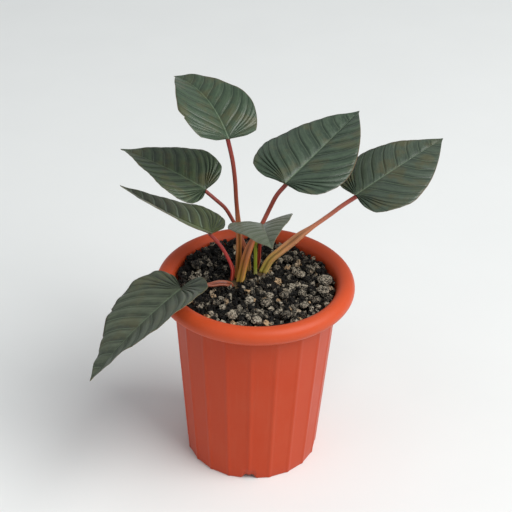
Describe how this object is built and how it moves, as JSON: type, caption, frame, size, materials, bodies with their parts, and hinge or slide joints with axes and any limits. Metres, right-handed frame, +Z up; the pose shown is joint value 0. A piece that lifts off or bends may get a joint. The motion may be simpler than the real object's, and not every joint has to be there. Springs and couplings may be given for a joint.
{
  "type": "potted foliage plant",
  "caption": "Young potted homalomena with heart-shaped, ribbed-veined dark leaves on slim red stalks, in a ribbed terracotta plastic pot of black volcanic cinders.",
  "frame": {"origin": "middle of the whole plant's footprint, on the ground; the pot's own axis is 13.2 mm towards -X and 3.8 mm towards +Y from it", "axes": "+Z up along the pot's axis; -Y towards the side that the drooping and young leaves lean to; +X to the right of that side"},
  "size_m": [0.306, 0.2148, 0.35],
  "materials": {
    "pot_plastic": "satin moulded polypropylene, terracotta orange",
    "cinder_bed": "loose crushed volcanic cinder, dull black",
    "crown": "fibrous rootstock, olive brown",
    "leaf_stalk": "smooth, maroon above and tan at the sheath",
    "leaf_blade": "semi-gloss, dark grey-green",
    "young_shoot": "smooth, bright yellow-green",
    "coarse_cinder": "rough vesicular stone, grey to tan"
  },
  "bodies": {
    "root": {"pot": "pot_plastic", "substrate": "cinder_bed", "crown": "crown", "leaf_top_stalk": "leaf_stalk", "leaf_left_stalk": "leaf_stalk", "leaf_left_low_stalk": "leaf_stalk", "leaf_right_stalk": "leaf_stalk", "leaf_far_right_stalk": "leaf_stalk", "leaf_young_stalk": "leaf_stalk", "leaf_drooping_stalk": "leaf_stalk", "leaf_top_blade": "leaf_blade", "leaf_left_blade": "leaf_blade", "leaf_left_low_blade": "leaf_blade", "leaf_right_blade": "leaf_blade", "leaf_far_right_blade": "leaf_blade", "leaf_young_blade": "leaf_blade", "leaf_drooping_blade": "leaf_blade", "spear": "young_shoot", "cinder_01": "coarse_cinder", "cinder_02": "coarse_cinder", "cinder_03": "coarse_cinder", "cinder_04": "coarse_cinder", "cinder_05": "coarse_cinder", "cinder_06": "coarse_cinder", "cinder_07": "coarse_cinder", "cinder_08": "coarse_cinder", "cinder_09": "coarse_cinder", "cinder_10": "coarse_cinder", "cinder_11": "coarse_cinder", "cinder_12": "coarse_cinder", "cinder_13": "coarse_cinder", "cinder_14": "coarse_cinder", "cinder_15": "coarse_cinder", "cinder_16": "coarse_cinder", "cinder_17": "coarse_cinder", "cinder_18": "coarse_cinder"}
  },
  "joints": []
}
